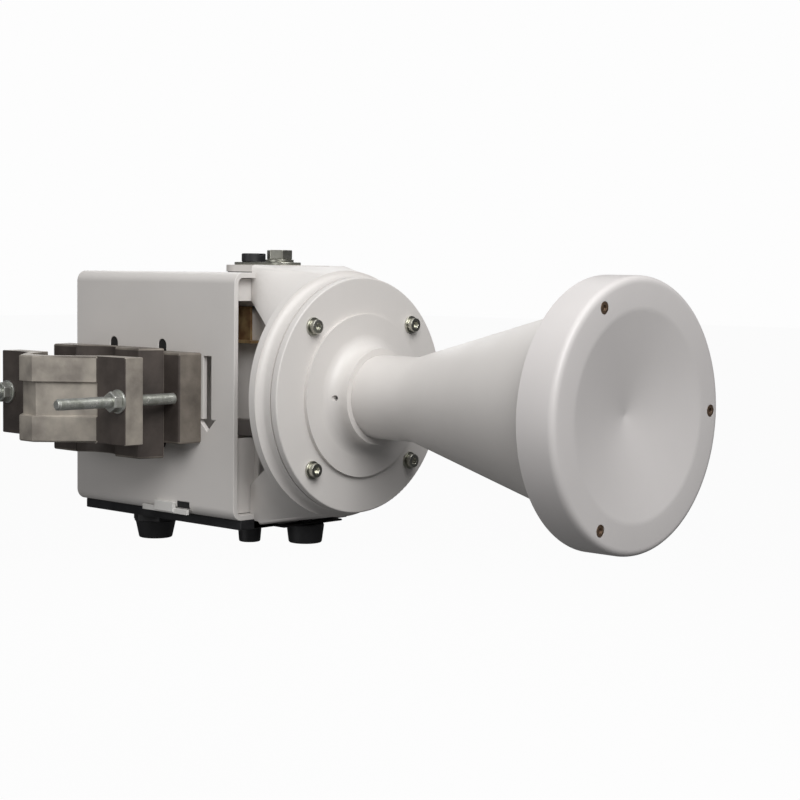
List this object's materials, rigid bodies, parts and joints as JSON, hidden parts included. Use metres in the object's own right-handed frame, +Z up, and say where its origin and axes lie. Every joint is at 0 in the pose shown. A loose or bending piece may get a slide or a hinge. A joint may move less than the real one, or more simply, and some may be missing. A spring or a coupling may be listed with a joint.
{
  "type": "horn antenna",
  "caption": "Conical horn antenna with a moulded radome, on a forked head, a folded bracket and a pole clamp.",
  "frame": {"origin": "on the pole's axis, half way up the clamp", "axes": "+Z up along the pole, -Y the way the horn looks, +X from the pole to the horn"},
  "size_m": [0.2806, 0.481, 0.2206],
  "materials": {
    "white_paint": "satin",
    "white_plastic": "satin",
    "black_plastic": "matte",
    "rubber": "matte",
    "zinc_steel": "satin",
    "dark_steel": "satin",
    "cast_grey": "rough",
    "aluminium": "satin",
    "nickel": "satin",
    "insulator": "matte",
    "brass": "satin"
  },
  "bodies": {
    "root": {"mounting_flange": "white_paint", "horn_tube": "white_paint", "head_casting": "white_paint", "yoke_bracket": "white_paint", "side_cover": "white_paint", "radome_cap": "white_plastic", "cable_clip": "white_plastic", "base_plate": "black_plastic", "lock_screws": "black_plastic", "drain_plug": "black_plastic", "cable_gland": "black_plastic", "gland_nut": "black_plastic", "lug_liners": "black_plastic", "blanking_plug": "black_plastic", "terminal_block": "black_plastic", "flange_gasket": "rubber", "radome_seal": "rubber", "cover_gasket": "rubber", "flange_screws": "zinc_steel", "flange_washers": "zinc_steel", "head_bolt": "zinc_steel", "head_washers": "zinc_steel", "head_nuts": "zinc_steel", "clamp_studs": "zinc_steel", "clamp_nuts": "zinc_steel", "clamp_washers": "zinc_steel", "jaw_bolts": "zinc_steel", "jaw_bolt_washers": "zinc_steel", "jack_screws": "zinc_steel", "cover_screws": "zinc_steel", "cup_screws": "zinc_steel", "lock_nuts": "zinc_steel", "lower_head_screw": "zinc_steel", "lock_plate": "zinc_steel", "housing_screws": "zinc_steel", "side_cover_screws": "zinc_steel", "boss_grub_screw": "dark_steel", "radome_screws": "dark_steel", "rear_bar": "cast_grey", "saddle": "cast_grey", "front_jaw": "cast_grey", "feed_housing": "aluminium", "rear_cover": "aluminium", "waveguide_cup": "aluminium", "coaxial_jack_left": "nickel", "coaxial_jack_right": "nickel", "jack_insulator_left": "insulator", "jack_insulator_right": "insulator", "probe_left": "brass", "probe_right": "brass", "jack_contact_left": "brass", "jack_contact_right": "brass", "earth_bracket": "brass", "coaxial_line_left": "brass", "coaxial_line_right": "brass"}
  },
  "joints": []
}
